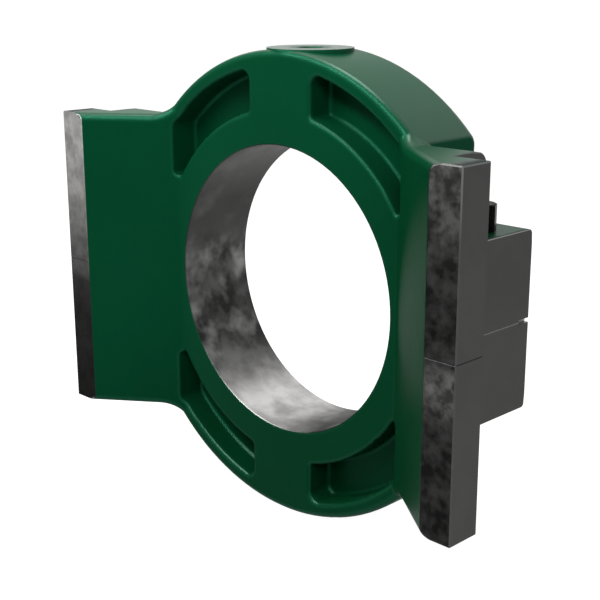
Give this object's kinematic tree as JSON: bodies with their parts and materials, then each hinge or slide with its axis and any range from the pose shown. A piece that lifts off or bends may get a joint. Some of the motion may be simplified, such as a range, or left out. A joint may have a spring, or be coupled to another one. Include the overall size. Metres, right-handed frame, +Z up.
{
  "type": "take-up bearing housing",
  "caption": "Green cast take-up bearing housing: a pocketed ring round a machined seat, wings slanting forward to guide strips, and lugs with hexagon bolts behind them.",
  "frame": {"origin": "middle of the bearing seat, on the bore's axis and halfway through the ring", "axes": "+Y along the bore from the pocketed front to the plain back, +Z up the guides to the pad on the crown, +X to the right guide strip as seen from the front"},
  "size_m": [0.3346, 0.0947, 0.2923],
  "materials": {
    "green_enamel": "semi-gloss dark green enamel on grey iron, bare at the bore, the guide strips and the guide faces",
    "black_oxide_steel": "black oxide, slightly oily"
  },
  "bodies": {
    "root": {"housing": "green_enamel", "lug_bolt_right": "black_oxide_steel", "lug_bolt_left": "black_oxide_steel"}
  },
  "joints": []
}
